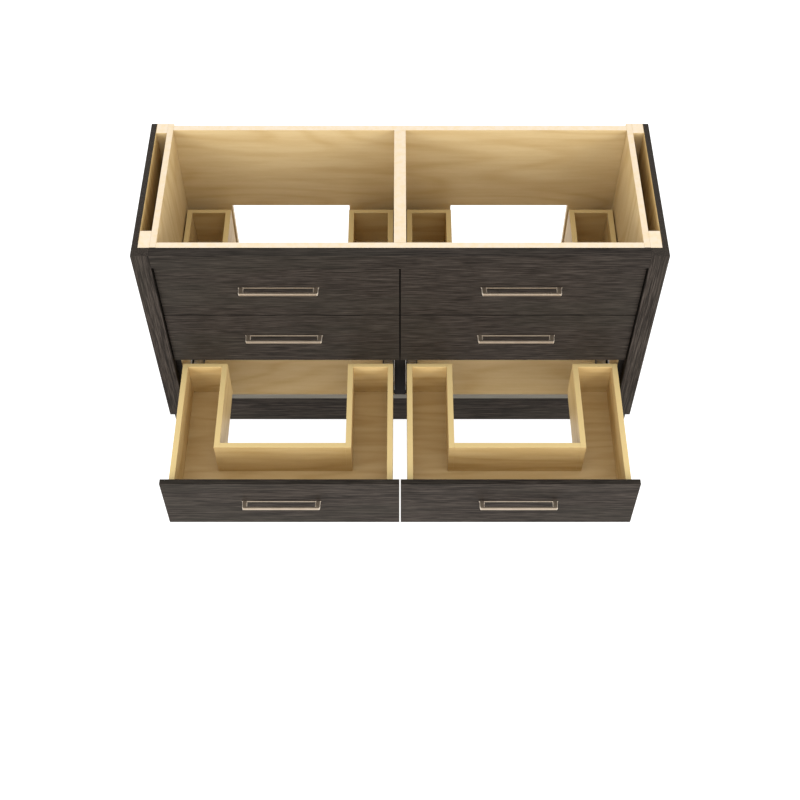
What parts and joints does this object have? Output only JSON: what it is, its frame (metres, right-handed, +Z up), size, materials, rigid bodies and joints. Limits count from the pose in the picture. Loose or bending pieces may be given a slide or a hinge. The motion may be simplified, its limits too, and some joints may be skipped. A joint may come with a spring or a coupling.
{
  "type": "double bathroom vanity cabinet",
  "caption": "Free-standing double vanity cabinet without a top: dark frame, fixed upper fronts, U-shaped plumbing drawers on undermount slides, bar pulls, toe kick.",
  "frame": {"origin": "on the floor, under the middle of the whole object's box with the bottom drawers open", "axes": "+X to the right seen from the front, +Y towards the wall, +Z up"},
  "size_m": [1.524, 1.0176, 0.876],
  "materials": {
    "dark_veneer": "dark charcoal-brown straight-grain veneer, matt lacquer",
    "light_ply": "clear-finished light maple plywood",
    "drawer_ply": "clear-finished golden birch plywood, satin",
    "bronze_pull": "champagne bronze, brushed satin",
    "zinc_steel": "bright zinc plated",
    "dark_steel": "dark grey coated sheet steel",
    "grey_edge": "grey-brown stained edge"
  },
  "bodies": {
    "cabinet": {"top_rail": "dark_veneer", "stile_left": "dark_veneer", "stile_right": "dark_veneer", "outer_side_left": "dark_veneer", "outer_side_right": "dark_veneer", "inner_side_left": "light_ply", "inner_side_right": "light_ply", "front_posts": "light_ply", "rear_posts": "light_ply", "front_stretcher": "light_ply", "center_partition": "light_ply", "back_panel": "light_ply", "bottom_panel": "light_ply", "bottom_edging": "grey_edge", "toe_kick": "dark_veneer", "base_bearers": "light_ply", "false_front_left": "dark_veneer", "false_front_right": "dark_veneer", "false_pull_left": "bronze_pull", "false_pull_right": "bronze_pull", "false_front_cleats": "light_ply", "false_pull_screws": "zinc_steel", "slide_flanges": "zinc_steel", "slide_channels": "dark_steel"},
    "middle_left_drawer": {"middle_left_front": "dark_veneer", "middle_left_box_front": "drawer_ply", "middle_left_box_sides": "drawer_ply", "middle_left_plumbing_walls": "drawer_ply", "middle_left_bottom": "drawer_ply", "middle_left_pull": "bronze_pull", "middle_left_pull_screws": "zinc_steel", "middle_left_slide_inner": "dark_steel"},
    "middle_left_slide": {"middle_left_slide_middle": "dark_steel"},
    "middle_right_drawer": {"middle_right_front": "dark_veneer", "middle_right_box_front": "drawer_ply", "middle_right_box_sides": "drawer_ply", "middle_right_plumbing_walls": "drawer_ply", "middle_right_bottom": "drawer_ply", "middle_right_pull": "bronze_pull", "middle_right_pull_screws": "zinc_steel", "middle_right_slide_inner": "dark_steel"},
    "middle_right_slide": {"middle_right_slide_middle": "dark_steel"},
    "bottom_left_drawer": {"bottom_left_front": "dark_veneer", "bottom_left_box_front": "drawer_ply", "bottom_left_box_sides": "drawer_ply", "bottom_left_plumbing_walls": "drawer_ply", "bottom_left_bottom": "drawer_ply", "bottom_left_pull": "bronze_pull", "bottom_left_pull_screws": "zinc_steel", "bottom_left_slide_inner": "dark_steel"},
    "bottom_left_slide": {"bottom_left_slide_middle": "dark_steel"},
    "bottom_right_drawer": {"bottom_right_front": "dark_veneer", "bottom_right_box_front": "drawer_ply", "bottom_right_box_sides": "drawer_ply", "bottom_right_plumbing_walls": "drawer_ply", "bottom_right_bottom": "drawer_ply", "bottom_right_pull": "bronze_pull", "bottom_right_pull_screws": "zinc_steel", "bottom_right_slide_inner": "dark_steel"},
    "bottom_right_slide": {"bottom_right_slide_middle": "dark_steel"}
  },
  "joints": [
    {"name": "middle_left_drawer_slide", "type": "slide", "parent": "cabinet", "child": "middle_left_drawer", "axis": [0, -1, 0], "range_m": [0, 0.457]},
    {"name": "middle_left_member_slide", "type": "slide", "parent": "cabinet", "child": "middle_left_slide", "axis": [0, -1, 0], "range_m": [0, 0.2285]},
    {"name": "middle_right_drawer_slide", "type": "slide", "parent": "cabinet", "child": "middle_right_drawer", "axis": [0, -1, 0], "range_m": [0, 0.457]},
    {"name": "middle_right_member_slide", "type": "slide", "parent": "cabinet", "child": "middle_right_slide", "axis": [0, -1, 0], "range_m": [0, 0.2285]},
    {"name": "bottom_left_drawer_slide", "type": "slide", "parent": "cabinet", "child": "bottom_left_drawer", "axis": [0, -1, 0], "range_m": [-0.457, 0]},
    {"name": "bottom_left_member_slide", "type": "slide", "parent": "cabinet", "child": "bottom_left_slide", "axis": [0, -1, 0], "range_m": [-0.2285, 0]},
    {"name": "bottom_right_drawer_slide", "type": "slide", "parent": "cabinet", "child": "bottom_right_drawer", "axis": [0, -1, 0], "range_m": [-0.457, 0]},
    {"name": "bottom_right_member_slide", "type": "slide", "parent": "cabinet", "child": "bottom_right_slide", "axis": [0, -1, 0], "range_m": [-0.2285, 0]}
  ],
  "couplings": [
    {"joint": "middle_left_member_slide", "follows": "middle_left_drawer_slide", "ratio": 0.5},
    {"joint": "middle_right_member_slide", "follows": "middle_right_drawer_slide", "ratio": 0.5},
    {"joint": "bottom_left_member_slide", "follows": "bottom_left_drawer_slide", "ratio": 0.5},
    {"joint": "bottom_right_member_slide", "follows": "bottom_right_drawer_slide", "ratio": 0.5}
  ]
}
